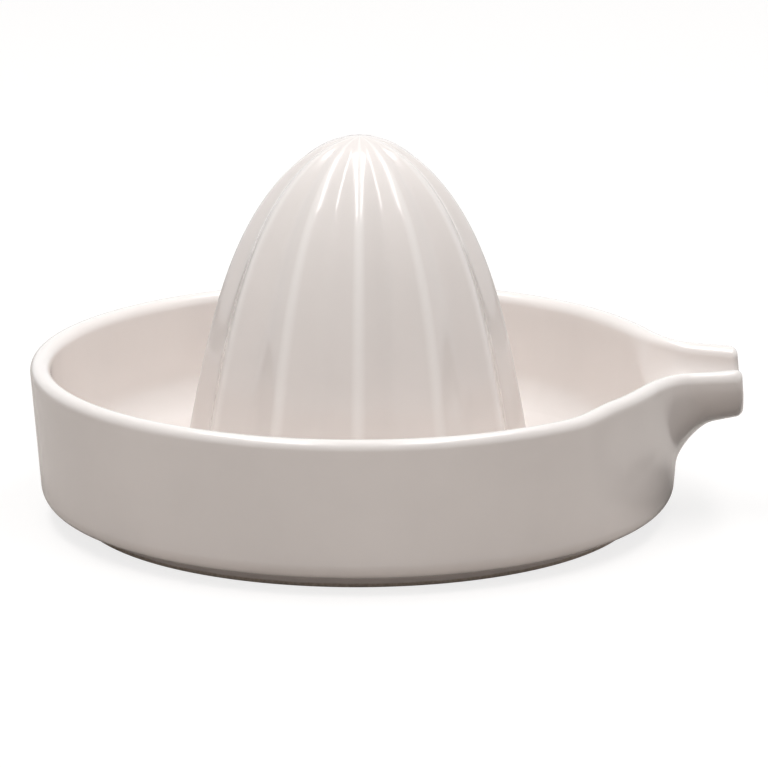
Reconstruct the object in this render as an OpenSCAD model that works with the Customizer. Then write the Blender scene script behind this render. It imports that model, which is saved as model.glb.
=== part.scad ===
// Ceramic citrus juicer: a shallow round dish with a fluted reaming cone standing in it,
// an open pouring spout let into the wall, and a narrow foot ring under the floor.
// The clay members are made one by one, seated in each other and joined with slip.
// Origin: dish axis, on the plane that the foot ring stands on. +Z up, +X towards the spout.

/* [Dish] */
// Outer diameter of the dish at its lip
dish_d = 140; // [120:1:170]
// Height of the lip above the table
rim_h = 33.8; // [30:0.2:42]
// Thickness of the wall at its round lip
lip_t = 4.4; // [3.6:0.1:5.6]
// Lean of the outer wall from the vertical, in degrees
outer_lean = 4.8; // [2:0.2:7]
// Lean of the inner wall from the vertical, in degrees
inner_lean = 6; // [3:0.5:9]
// Thickness of the floor
floor_t = 4.3; // [3.6:0.1:6]
// Radius of the round corner under the outer wall
corner_r = 4.2; // [2:0.2:6]
// Radius of the cove between the inner wall and the floor
cove_r = 11; // [6:0.5:13]

/* [Foot ring] */
// Height that the foot ring lifts the dish off the table
foot_h = 3.2; // [2:0.1:5]
// Outer diameter of the standing face
foot_d = 120; // [100:1:124]
// Width of the standing face
foot_w = 4.6; // [3:0.2:7]
// Slope of the foot ring's two sides, as millimetres of width for each millimetre of height
foot_flare = 0.15; // [0:0.05:0.3]
// Depth of the groove that seats the foot ring in the underside
foot_seat = 0.8; // [0.4:0.1:1.2]

/* [Reaming cone] */
// Height of the cone's tip above the table
cone_h = 82.4; // [74:0.2:96]
// Diameter over the ribs where the cone meets the floor
cone_d = 76.2; // [66:0.2:80]
// Lean of the lower flank from the vertical, in degrees
cone_lean = 10.4; // [7:0.1:14]
// Fullness of the shoulder: larger keeps the flank straight for longer
shoulder_power = 4.4; // [3.5:0.05:7]
// Roundness of the tip: 2 is a round dome, less is more pointed
tip_power = 1.86; // [1.4:0.02:2]
// Number of ribs round the cone
ribs = 12; // [8:1:16]
// Depth of a flute below the ribs at the floor
flute_depth = 2.9; // [1.5:0.1:4]
// Radius of the rib crests
rib_r = 1.3; // [0.6:0.1:2.5]
// Roundness of the flutes' bottoms, as a share of half a flute's width
valley_soft = 0.3; // [0.1:0.05:0.8]
// Radius over the ribs above which the flutes fade out into the tip
tip_fade = 8; // [3:0.5:12]
// Radius of the fillet where the cone runs out on the floor
cone_fillet = 2.2; // [1:0.1:3]
// Thickness of the cone's shell behind the flutes
cone_wall = 4.6; // [3.6:0.1:6]
// Width of the shelf that carries the cone's flange
seat_shelf = 5; // [3:0.5:7]
// Thickness of the cone's flange
flange_t = 2.3; // [1.6:0.1:3]

/* [Pouring spout] */
// Reach of the spout's tip beyond the dish
spout_reach = 12.7; // [8:0.1:18]
// Width over the spout's lips at the tip
spout_w = 24.6; // [18:0.2:28]
// Spread of each side of the spout towards the dish, in degrees
spout_spread = 19; // [10:1:26]
// Depth of the spout at the tip, from the top of its lips to its underside
spout_depth = 12.6; // [10:0.1:14]
// Fall of the spout's lips from the dish to the tip
lip_fall = 0.3; // [0:0.1:1]
// Fall of the underside from the tip back towards the dish, in degrees
spout_fall = 10.5; // [6:0.5:16]
// Thickness of the spout under its channel
spout_floor_t = 4; // [3.4:0.1:5.5]
// Lean of the end face, in degrees
tip_lean = 4; // [0:1:8]
// Radius of the edges round the end face
tip_edge_r = 1.6; // [0.8:0.1:2]
// Run of the soft blend along each side of the spout, at the lips
side_blend = 4.5; // [3:0.5:8]
// Run of the soft blend on round the outside of the wall, at the lips
shoulder_blend = 9.5; // [7:0.5:16]
// Run of the soft blend under the spout
under_blend = 8; // [4:0.5:9]
// Run of the blend where the channel opens out of the bowl
mouth_blend = 5; // [3:0.5:6]
// How far the rim is drawn in on each shoulder of the spout
shoulder_draw = 1.6; // [0:0.1:2.5]
// How far the rim rises on each shoulder of the spout
shoulder_rise = 0.6; // [0:0.1:1.2]
// Half angle of the notch that the spout is let into, in degrees
notch_half = 50; // [40:1:54]
// Height of the notch's bottom above the table
notch_z = 10; // [9:0.25:12]

/* [Slip joints] */
// Thickness of the slip round the cone's flange and the foot ring
slip = 0.05; // [0:0.01:0.15]

/* [Hidden] */
$fn = 180;
glaze = [0.86, 0.83, 0.81];
glaze_shade = [0.80, 0.76, 0.74];
glaze_light = [0.90, 0.87, 0.85];
biscuit = [0.74, 0.69, 0.65];
eps = 0.01;

// The lip's half round, and the two leaning faces of the wall that are tangent to it
lip_r = lip_t / 2;
lip_z = rim_h - lip_r;
lip_mid = dish_d / 2 - lip_r;
function outer_r(z) = lip_mid + lip_r / cos(outer_lean) - (lip_z - z) * tan(outer_lean);
function wall_in_r(z) = lip_mid - lip_r / cos(inner_lean) - (lip_z - z) * tan(inner_lean);

// Floor, lower corner and cove
floor_z = foot_h + floor_t;
corner_mid = outer_r(foot_h + corner_r) - corner_r / cos(outer_lean);
cove_mid = wall_in_r(floor_z + cove_r) - cove_r / cos(inner_lean);
cove_top = floor_z + cove_r * (1 - sin(inner_lean));
function bowl_r(z) =
    z >= cove_top ? wall_in_r(z) : cove_mid + sqrt(pow(cove_r, 2) - pow(floor_z + cove_r - z, 2));

// An arc as a list of points
function arc(mid, radius, from, to, steps) =
    [for (i = [0 : steps]) let (a = from + (to - from) * i / steps) mid + radius * [cos(a), sin(a)]];

// Cone: flange, and the outline over the ribs
flange_margin = 0.3;
flange_r = cone_d / 2 + cone_fillet + flange_margin;
flange_z = floor_z - flange_t;
seat_hole_r = flange_r - seat_shelf;
tip_span = cone_h - floor_z;
function dome(u) = pow(max(1 - pow(u, shoulder_power), 0), 1 / tip_power);
function rib_line(z) = (cone_d / 2 - (z - floor_z) * tan(cone_lean)) * dome((z - floor_z) / tip_span);
function fillet_run(z) =
    let (up = z - floor_z)
    up < cone_fillet ? cone_fillet - sqrt(pow(cone_fillet, 2) - pow(cone_fillet - up, 2)) : 0;

// A flute is a shallow valley between two ribs. Blunting rounds both the rib crest and the valley.
function blunt(a, soft) = sqrt(a * a + soft * soft) - soft;
function scoop(a, half, soft) =
    let (up = 1 - blunt(a, soft) / blunt(half, soft))
    1 - blunt(up, valley_soft) / blunt(1, valley_soft);
function flute_at(line_r) = flute_depth * 2 * line_r / cone_d * (1 - pow(max(1 - line_r / tip_fade, 0), 2));
function cone_r(z, angle) =
    let (line_r = rib_line(z))
    let (half = 180 / ribs)
    let (soft = min(rib_r / max(line_r, rib_r) * 180 / PI, half / 2))
    let (off = abs((angle / (2 * half) - round(angle / (2 * half))) * 2 * half))
    line_r - flute_at(line_r) * scoop(off, half, soft) + fillet_run(z);

// Levels crowd towards the tip and into the fillet
cone_levels = 24;
fillet_levels = 4;
rib_steps = 8;
function level_z(i) =
    i <= fillet_levels
    ? floor_z + cone_fillet * (1 - cos(90 * i / fillet_levels))
    : let (from = cone_fillet / tip_span)
      let (u = (i - fillet_levels) / (cone_levels - fillet_levels + 1))
      floor_z + tip_span * (from + (1 - from) * sin(90 * u));

// The hollow follows the flutes' bottoms at the shell's thickness and closes under a thicker tip
tip_extra = 1.5;
hollow_power = 6;
hollow_levels = 20;
hollow_h = cone_h - cone_wall - tip_extra;
function hollow_dome(z) = sqrt(max(1 - pow((z - floor_z) / (hollow_h - floor_z), hollow_power), 0));
function hollow_r(z) =
    let (line_r = rib_line(z))
    max((line_r - flute_at(line_r) - cone_wall) * hollow_dome(z), 0);
hollow_base_r = hollow_r(floor_z);

// Spout: sections of the outside and of the channel, at the tip and where they meet the wall.
// A power of 2 is half an ellipse. Below that the sides slope in more, above it they stand up more.
section_power = 1.6;
channel_power = 2.2;
tip_x = dish_d / 2 + spout_reach;
tip_under_z = rim_h - spout_depth;
root_inset = 1;
root_x = dish_d / 2 - root_inset;
side_tan = tan(spout_spread);
tip_half_w = spout_w / 2;
root_half_w = tip_half_w + (tip_x - root_x) * side_tan;
tip_lip_z = lip_z - lip_fall;
tip_drop = tip_lip_z - tip_under_z;
root_drop = lip_z - tip_under_z + (tip_x - root_x) * tan(spout_fall);
// Where the channel meets the bowl, its side is the outer side moved in by the lip's thickness
mouth_inset = 2;
mouth_x = dish_d / 2 - lip_t - mouth_inset;
lip_shift = lip_t / cos(spout_spread);
channel_tip_half_w = tip_half_w - lip_shift;
channel_tip_drop = tip_drop - spout_floor_t;
mouth_half_w = tip_half_w + (tip_x - mouth_x) * side_tan - lip_shift;
mouth_drop = lip_z - tip_under_z - spout_floor_t + (tip_x - mouth_x) * tan(spout_fall) / 2;
// Turn of the lip from the wall into the spout, which sets how much longer the inner blend is
root_turn = 90 - spout_spread - asin(root_half_w / (dish_d / 2));
turn_gain = lip_t * tan(root_turn / 2);

section_steps = 16;
lip_steps = 6;
blend_steps = 8;
wall_steps = 8;
edge_steps = 3;
// Share of the section that ends on the notch's bottom, the rest ends on its side
bottom_share = 0.5;
// Power that keeps the channel's wide blend near the lip, with a tight fold lower down
mouth_bias = 3;
// Share of the way to the notch that a blend may use up, and its least distance above the bottom
run_limit = 0.92;
notch_margin = 0.6;
// Pull of a blend towards the corner that it rounds, and the step that finds its end direction
hug = 0.42;
heading_step = 0.01;
// Angles from the spout's middle between which the shoulder swells, and the run over which it fades
swell_from = 6;
swell_full = 16;
swell_run = 14;

function unit(v) = v / norm(v);
function mix(a, b, k) = a + (b - a) * k;
function wall_point(r, angle, z) = [r * cos(angle), r * sin(angle), z];
function power_of(inner) = inner ? channel_power : section_power;
function side_of(inner, s) = pow(sin(90 * s), 2 / power_of(inner));
function drop_of(inner, s) = pow(cos(90 * s), 2 / power_of(inner));

// Half of the spout, s from 0 at the bottom middle to 1 at the lip. inner picks the channel's face.
function face_r(inner, z) = inner ? bowl_r(z) : outer_r(z);
function tip_point(inner, s) =
    let (y = (inner ? channel_tip_half_w : tip_half_w) * side_of(inner, s))
    let (z = tip_lip_z - (inner ? channel_tip_drop : tip_drop) * drop_of(inner, s))
    [tip_x - (z - tip_under_z) * tan(tip_lean), y, z];
function root_point(inner, s) =
    let (y = (inner ? mouth_half_w : root_half_w) * side_of(inner, s))
    let (z = lip_z - (inner ? mouth_drop : root_drop) * drop_of(inner, s))
    let (r = face_r(inner, z))
    [sqrt(r * r - y * y), y, z];
function notch_angle(s) = notch_half * min(s / bottom_share, 1);
function notch_height(s) = mix(notch_z, lip_z, max((s - bottom_share) / (1 - bottom_share), 0));
function run_back(inner, s) =
    inner
    ? mix(mouth_blend, side_blend + turn_gain, pow(s, mouth_bias))
    : mix(under_blend, side_blend, s);
function run_on(inner, s) =
    let (root = root_point(inner, s))
    let (r = norm([root.x, root.y]))
    let (arc_len = r * (notch_angle(s) - atan2(root.y, root.x)) * PI / 180)
    let (room = norm([arc_len, notch_height(s) - root.z]))
    let (want = inner
        ? mix(mouth_blend, shoulder_blend + turn_gain, pow(s, mouth_bias))
        : mix(root_point(false, 0).z - notch_z - notch_margin, shoulder_blend, s))
    min(want / room, run_limit);
function wall_line(inner, s, k) =
    let (root = root_point(inner, s))
    let (angle = mix(atan2(root.y, root.x), notch_angle(s), k))
    let (z = mix(root.z, notch_height(s), k))
    wall_point(face_r(inner, z), angle, z);
function bezier(p, k) =
    p[0] * pow(1 - k, 3) + p[1] * 3 * k * pow(1 - k, 2) + p[2] * 3 * k * k * (1 - k) + p[3] * pow(k, 3);
function blend_frame(inner, s) =
    let (root = root_point(inner, s))
    let (along = unit(root - tip_point(inner, s)))
    let (start = root - along * run_back(inner, s))
    let (k = run_on(inner, s))
    let (finish = wall_line(inner, s, k))
    let (towards = unit(wall_line(inner, s, k - heading_step) - finish))
    [start, start + along * run_back(inner, s) * hug,
     finish + towards * norm(finish - root) * hug, finish];

// One ring of the spout at a given row: 0 is the tip's edge, then the trough, the blend and the wall
rows = edge_steps + 1 + blend_steps + wall_steps;
function row_point(inner, s, row) =
    let (frame = blend_frame(inner, s))
    row <= edge_steps ? tip_point(inner, s)
        + unit(frame[0] - tip_point(inner, s)) * tip_edge_r * (1 - cos(90 * row / edge_steps))
    : row <= edge_steps + 1 + blend_steps ? bezier(frame, (row - edge_steps - 1) / blend_steps)
    : wall_line(inner, s, mix(run_on(inner, s), 1, (row - edge_steps - 1 - blend_steps) / wall_steps));
function inset_at(row) = row >= edge_steps ? 0 : tip_edge_r * (1 - sin(90 * row / edge_steps));
function flip(p, side) = [p.x, side * p.y, p.z];
function ring_pair(s, row) =
    let (o = row_point(false, abs(s), row))
    let (i = row_point(true, abs(s), row))
    let (way = unit(i - o) * inset_at(row))
    [flip(o + way, sign(s + eps / 10)), flip(i - way, sign(s + eps / 10))];
function lip_arc(pair, from, to) =
    let (mid = (pair[0] + pair[1]) / 2)
    let (half = (pair[0] - pair[1]) / 2)
    [for (i = [1 : lip_steps - 1])
        let (a = from + (to - from) * i / lip_steps)
        mid + half * cos(a) + [0, 0, norm(half)] * sin(a)];
function ease(k) = let (c = min(max(k, 0), 1)) c * c * (3 - 2 * c);
function swell(p) =
    let (angle = abs(atan2(p.y, p.x)))
    let (share = ease((angle - swell_from) / (swell_full - swell_from))
        * ease((notch_half - angle) / swell_run) * ease((p.z - notch_z) / (lip_z - notch_z)))
    let (k = 1 - shoulder_draw * share / norm([p.x, p.y]))
    [p.x * k, p.y * k, p.z + shoulder_rise * share];
section_marks = [for (i = [-section_steps : section_steps]) i / section_steps];
function ring(row) =
    let (pairs = [for (s = section_marks) ring_pair(s, row)])
    let (last = 2 * section_steps)
    let (loop = concat([for (p = pairs) p[0]], lip_arc(pairs[last], 0, 180),
                       [for (i = [last : -1 : 0]) pairs[i][1]], lip_arc(pairs[0], 180, 0)))
    [for (p = loop) swell(p)];

// Closes a tube of rings at its first or last ring: a strip across the section and a fan on each lip
function cap_faces(base, count, turned) =
    let (last = 2 * section_steps)
    let (inner_at = function(i) 2 * last + lip_steps - i)
    let (strip = [for (i = [0 : last - 1])
        each [[i, i + 1, inner_at(i + 1)], [i, inner_at(i + 1), inner_at(i)]]])
    let (far_lip = [for (i = [last + 1 : last + lip_steps - 1]) [last, i, i + 1]])
    let (near_start = 2 * last + lip_steps)
    let (near_lip = [for (i = [near_start : count - 2]) [0, i, i + 1]])
    [for (f = concat(strip, far_lip, near_lip))
        let (g = [for (v = f) v + base])
        turned ? [g[2], g[1], g[0]] : g];
function tube_faces(rings, count) =
    [for (r = [0 : rings - 2], i = [0 : count - 1])
        let (a = r * count + i)
        let (b = r * count + (i + 1) % count)
        each [[a, b, b + count], [a, b + count, a + count]]];

// Foot ring: it spreads a little upwards, and its standing face has broken edges
foot_edge = 0.5;
foot_out = foot_d / 2;
foot_in = foot_out - foot_w;
foot_top_out = foot_out + foot_flare * foot_h;
foot_top_in = foot_in - foot_flare * foot_h;

corner_steps = 10;
rim_steps = 20;
cove_steps = 14;
module dish_profile() {
    polygon(concat(
        [[seat_hole_r, foot_h]],
        arc([corner_mid, foot_h + corner_r], corner_r, -90, -outer_lean, corner_steps),
        arc([lip_mid, lip_z], lip_r, -outer_lean, 180 - inner_lean, rim_steps),
        arc([cove_mid, floor_z + cove_r], cove_r, -inner_lean, -90, cove_steps),
        [[flange_r + slip, floor_z], [flange_r + slip, flange_z], [seat_hole_r, flange_z]]));
}

module notch() {
    corner = dish_d * [cos(notch_half), sin(notch_half)];
    translate([0, 0, notch_z])
        linear_extrude(height = rim_h)
            polygon([[0, 0], [corner.x, -corner.y], [dish_d, 0], corner]);
}

// Round dish: floor with a stepped seat for the cone, coved wall with a round lip,
// a notch for the spout and a shallow groove for the foot ring
module dish() {
    color(glaze) difference() {
        rotate_extrude() dish_profile();
        notch();
        translate([0, 0, foot_h - eps])
            difference() {
                cylinder(r = foot_top_out + slip, h = foot_seat + eps);
                translate([0, 0, -eps])
                    cylinder(r = foot_top_in - slip, h = foot_seat + 3 * eps);
            }
    }
}

// Fluted cone with a flange round its foot and a spigot flush with the underside, hollow underneath
module reamer_cone() {
    around = ribs * rib_steps;
    points = concat(
        [for (i = [0 : cone_levels], j = [0 : around - 1])
            let (angle = 360 * j / around)
            let (z = level_z(i))
            wall_point(cone_r(z, angle), angle, z)],
        [[0, 0, cone_h], [0, 0, floor_z]]);
    tip = (cone_levels + 1) * around;
    faces = concat(
        [for (i = [0 : cone_levels - 1], j = [0 : around - 1])
            let (a = i * around + j)
            let (b = i * around + (j + 1) % around)
            each [[a, b + around, b], [a, a + around, b + around]]],
        [for (j = [0 : around - 1])
            let (top = cone_levels * around)
            [tip, top + (j + 1) % around, top + j]],
        [for (j = [0 : around - 1]) [tip + 1, j, (j + 1) % around]]);
    color(glaze_light) difference() {
        union() {
            polyhedron(points = points, faces = faces, convexity = 4);
            translate([0, 0, flange_z]) cylinder(r = flange_r, h = flange_t);
            translate([0, 0, foot_h]) cylinder(r = seat_hole_r - slip, h = flange_z - foot_h + eps);
        }
        rotate_extrude()
            polygon(concat(
                [[0, foot_h - 1], [hollow_base_r, foot_h - 1], [hollow_base_r, floor_z]],
                [for (i = [1 : hollow_levels])
                    let (z = floor_z + (hollow_h - floor_z) * sin(90 * i / hollow_levels))
                    [i == hollow_levels ? 0 : hollow_r(z), z]]));
    }
}

// Open spout with its two shoulders, which fills the notch in the wall
module pouring_spout() {
    rings = rows + 1;
    count = len(ring(0));
    color(glaze_shade)
        polyhedron(
            points = [for (r = [0 : rows]) each ring(r)],
            faces = concat(tube_faces(rings, count), cap_faces(0, count, true),
                           cap_faces(rows * count, count, false)),
            convexity = 6);
}

// Foot ring: bare standing face, top seated in the groove
module foot_ring() {
    color(biscuit) rotate_extrude()
        polygon([[foot_in + foot_edge, 0], [foot_out - foot_edge, 0], [foot_out, foot_edge],
                 [foot_top_out, foot_h], [foot_top_out, foot_h + foot_seat],
                 [foot_top_in, foot_h + foot_seat], [foot_top_in, foot_h], [foot_in, foot_edge]]);
}

dish();
reamer_cone();
pouring_spout();
foot_ring();
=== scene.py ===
"""Ceramic citrus juicer: round dish, fluted cone, pouring spout and foot ring under one satin glaze.

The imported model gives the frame. Each clay member is modelled here as a fine closed mesh on the same
curves as its solid, and the glaze runs over all the joints with one set of normals.
"""

import logging
import math
from dataclasses import dataclass, field
from enum import Enum

import bmesh
import bpy
import numpy as np
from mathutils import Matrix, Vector


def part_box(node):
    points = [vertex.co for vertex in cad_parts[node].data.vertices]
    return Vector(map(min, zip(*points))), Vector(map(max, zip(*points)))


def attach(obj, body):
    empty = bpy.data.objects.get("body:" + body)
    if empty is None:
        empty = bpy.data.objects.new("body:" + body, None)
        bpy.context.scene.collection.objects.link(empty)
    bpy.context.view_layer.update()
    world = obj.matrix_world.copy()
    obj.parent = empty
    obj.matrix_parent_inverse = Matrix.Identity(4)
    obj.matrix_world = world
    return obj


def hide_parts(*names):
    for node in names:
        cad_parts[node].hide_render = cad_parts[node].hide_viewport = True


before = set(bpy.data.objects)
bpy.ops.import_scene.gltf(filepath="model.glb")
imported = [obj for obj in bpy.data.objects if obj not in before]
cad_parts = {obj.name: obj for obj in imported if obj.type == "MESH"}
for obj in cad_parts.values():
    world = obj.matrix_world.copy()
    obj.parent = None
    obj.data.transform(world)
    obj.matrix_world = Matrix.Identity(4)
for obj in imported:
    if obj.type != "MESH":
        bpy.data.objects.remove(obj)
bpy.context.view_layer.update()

BODY = "root"
HIDDEN_LAYER = "in_joint"
CREST_LAYER = "crest"
TINY = 1e-12  # Least length that a vector is divided by.
WELD = 1e-6  # Points of one piece this near each other become one, in metres.
SEAM = 10 * WELD  # Grid on which points of two pieces count as the same place.

Numbers = np.ndarray | float
Triple = tuple[float, float, float]
Socket = bpy.types.NodeSocket
Input = Socket | float | tuple

log = logging.getLogger("juicer")


class Side(Enum):
    """The two faces of the clay wall."""

    OUTER = "outer"
    INNER = "inner"


def smoothstep(k: Numbers) -> Numbers:
    """Eases a share, kept within 0 to 1, so that it is flat at both ends."""
    k = np.clip(k, 0.0, 1.0)
    return k * k * (3.0 - 2.0 * k)


def mix(a: Numbers, b: Numbers, k: Numbers) -> Numbers:
    """Goes from a to b by the share k."""
    return a + (b - a) * k


def unit(v: np.ndarray) -> np.ndarray:
    """Scales the vectors in the last axis to length 1."""
    return v / np.maximum(np.linalg.norm(v, axis=-1, keepdims=True), TINY)


def blunt(a: Numbers, soft: Numbers) -> Numbers:
    """Absolute value of a, its corner at 0 rounded over the length soft."""
    return np.sqrt(a ** 2 + soft ** 2) - soft


def slope(degrees: float) -> float:
    """Sideways run of a line for each unit of height, from its lean in degrees."""
    return math.tan(math.radians(degrees))


def around_axis(r: np.ndarray, angle: np.ndarray, z: np.ndarray) -> np.ndarray:
    """Points of radii, angles from +X in radians and heights, x, y and z in the last axis."""
    r, angle, z = np.broadcast_arrays(r, angle, z)
    return np.stack([r * np.cos(angle), r * np.sin(angle), z], axis=-1)


def arc_points(centre: tuple[float, float], radius: float, start: float, end: float,
               steps: int) -> np.ndarray:
    """Radii and heights along an arc, its angles in degrees from the outward direction."""
    a = np.radians(np.linspace(start, end, steps + 1))
    return np.stack([centre[0] + radius * np.cos(a), centre[1] + radius * np.sin(a)], axis=-1)


def put(name: str, data: bpy.types.ID, place: Triple = (0.0, 0.0, 0.0),
        aim: Triple | None = None) -> bpy.types.Object:
    """Adds an object to the scene.

    Args:
        name: Its name.
        data: Its mesh, lamp or camera.
        place: Where it stands.
        aim: The point that a lamp or a camera faces.

    Returns:
        The object.
    """
    thing = bpy.data.objects.new(name, data)
    thing.location = place
    if aim is not None:
        thing.rotation_euler = (Vector(aim) - Vector(place)).to_track_quat("-Z", "Y").to_euler()
    bpy.context.scene.collection.objects.link(thing)
    return thing


@dataclass(frozen=True)
class Graph:
    """A node tree whose nodes are set and linked as they are added."""

    tree: bpy.types.NodeTree

    def feed(self, node: bpy.types.Node, inputs: dict[str | int, Input]) -> bpy.types.NodeOutputs:
        """Links or sets inputs of a node.

        Args:
            node: The node.
            inputs: A socket or a constant for each input.

        Returns:
            The node's outputs.
        """
        for name, value in inputs.items():
            if isinstance(value, Socket):
                self.tree.links.new(value, node.inputs[name])
            else:
                node.inputs[name].default_value = value
        return node.outputs

    def place(self) -> Socket:
        """Adds the place of a point in the object's own space."""
        return self.tree.nodes.new("ShaderNodeTexCoord").outputs["Object"]

    def noise(self, size: float, detail: float) -> Socket:
        """Adds soft noise of a size, with some layers of finer noise."""
        node = self.tree.nodes.new("ShaderNodeTexNoise")
        return self.feed(node, {"Vector": self.place(), "Scale": 1 / size, "Detail": detail})["Fac"]

    def ramp(self, share: Socket, span: tuple[float, float], low: Triple, high: Triple) -> Socket:
        """Adds a ramp from one colour to another.

        Args:
            share: The value it follows.
            span: Values at which it starts and ends.
            low: Colour before it starts.
            high: Colour after it ends.

        Returns:
            The colour.
        """
        node = self.tree.nodes.new("ShaderNodeValToRGB")
        for element, position, colour in zip(node.color_ramp.elements, span, (low, high)):
            element.position = position
            element.color = (*colour, 1)
        return self.feed(node, {"Fac": share})["Color"]

    def blend(self, share: Socket, low: Input, high: Input) -> Socket:
        """Adds a mix of two colours.

        Args:
            share: Share of the second colour.
            low: Colour at share 0.
            high: Colour at share 1.

        Returns:
            The colour.
        """
        node = self.tree.nodes.new("ShaderNodeMix")
        node.data_type = "RGBA"
        return self.feed(node, {"Factor": share, "A": low, "B": high})["Result"]

    def ranged(self, value: Socket, ends: tuple[float, float], span: tuple[float, float] = (0.0, 1.0),
               smooth: bool = False) -> Socket:
        """Adds a change of range.

        Args:
            value: The value to change.
            ends: Results at both ends of the span.
            span: Values between which the result goes from end to end.
            smooth: Whether it is flat at both ends.

        Returns:
            The result.
        """
        node = self.tree.nodes.new("ShaderNodeMapRange")
        node.interpolation_type = "SMOOTHSTEP" if smooth else "LINEAR"
        return self.feed(node, {"Value": value, "From Min": span[0], "From Max": span[1],
                                "To Min": ends[0], "To Max": ends[1]})["Result"]

    def calc(self, operation: str, *values: Input) -> Socket:
        """Adds a step of arithmetic.

        Args:
            operation: Blender's name for it.
            values: What goes into it, in order.

        Returns:
            The result.
        """
        node = self.tree.nodes.new("ShaderNodeMath")
        node.operation = operation
        return self.feed(node, dict(enumerate(values)))["Value"]

    def bump(self, height: Socket, distance: float) -> Socket:
        """Adds a relief, which is as high as the distance where the height is 1."""
        node = self.tree.nodes.new("ShaderNodeBump")
        return self.feed(node, {"Height": height, "Strength": 1, "Distance": distance})["Normal"]


@dataclass
class Shell:
    """A closed piece in the making, with the faces that lie shut in a joint marked."""

    name: str
    points: list[np.ndarray] = field(default_factory=list)
    faces: list[np.ndarray] = field(default_factory=list)
    hidden: list[np.ndarray] = field(default_factory=list)
    crest: list[np.ndarray] = field(default_factory=list)
    count: int = 0

    def add(self, grid: np.ndarray, crest: Numbers = 0.0) -> np.ndarray:
        """Adds a grid of points.

        Args:
            grid: Points, with x, y and z in the last axis.
            crest: How far each point lies on a ridge, from 0 to 1. The glaze is coloured lighter there,
                partly as thin glaze and partly as a painted highlight.

        Returns:
            The points' numbers, in the shape of the grid without its last axis.
        """
        shape = grid.shape[:-1]
        numbers = np.arange(int(np.prod(shape))) + self.count
        self.points.append(grid.reshape(-1, 3))
        self.crest.append(np.broadcast_to(crest, shape).reshape(-1))
        self.count += len(numbers)
        return numbers.reshape(shape)

    def sheet(self, numbers: np.ndarray, closed: bool = False, hidden: bool = False) -> None:
        """Joins the neighbouring points of a grid with four-sided faces.

        Args:
            numbers: Grid of point numbers, rows by columns.
            closed: Whether the last column meets the first one.
            hidden: Whether the faces lie in a joint.
        """
        if closed:
            numbers = np.concatenate([numbers, numbers[:, :1]], axis=1)
        low, high = numbers[:-1], numbers[1:]
        quads = np.stack([low[:, :-1], low[:, 1:], high[:, 1:], high[:, :-1]], axis=-1)
        self.faces.append(quads.reshape(-1, 4))
        self.hidden.append(np.full(quads.shape[0] * quads.shape[1], hidden))

    def ladder(self, left: np.ndarray, right: np.ndarray, hidden: bool = False) -> None:
        """Joins two equally long lines of point numbers, rung by rung."""
        self.sheet(np.stack([left, right]), hidden=hidden)

    def turn(self, angles: np.ndarray, *profiles: tuple[np.ndarray, bool]) -> None:
        """Turns profiles once round the dish axis.

        Args:
            angles: Angles of the columns.
            profiles: Points of each profile by radius and height, and whether it lies in a joint.
        """
        for profile, hidden in profiles:
            points = around_axis(profile[:, None, 0], angles, profile[:, None, 1])
            self.sheet(self.add(points), closed=True, hidden=hidden)

    def build(self) -> bpy.types.Object:
        """Welds the points, turns the faces outwards and makes the piece.

        Returns:
            The new piece, linked to the scene.
        """
        mesh = bpy.data.meshes.new(self.name)
        faces = [tuple(dict.fromkeys(face)) for face in np.concatenate(self.faces).tolist()]
        mesh.from_pydata(np.concatenate(self.points).tolist(), [], faces)
        hidden = mesh.attributes.new(HIDDEN_LAYER, "INT", "FACE")
        hidden.data.foreach_set("value", np.concatenate(self.hidden).astype(np.int32))
        crest = mesh.attributes.new(CREST_LAYER, "FLOAT", "POINT")
        crest.data.foreach_set("value", np.concatenate(self.crest).astype(np.float32))
        welded = bmesh.new()
        welded.from_mesh(mesh)
        bmesh.ops.remove_doubles(welded, verts=welded.verts, dist=WELD)
        bmesh.ops.recalc_face_normals(welded, faces=welded.faces)
        open_edges = sum(not e.is_manifold for e in welded.edges)
        for face in welded.faces:
            face.smooth = True
        welded.to_mesh(mesh)
        welded.free()
        piece = put(self.name, mesh)
        log.info("%s: %d faces, %d open edges", self.name, len(mesh.polygons), open_edges)
        return piece


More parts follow.
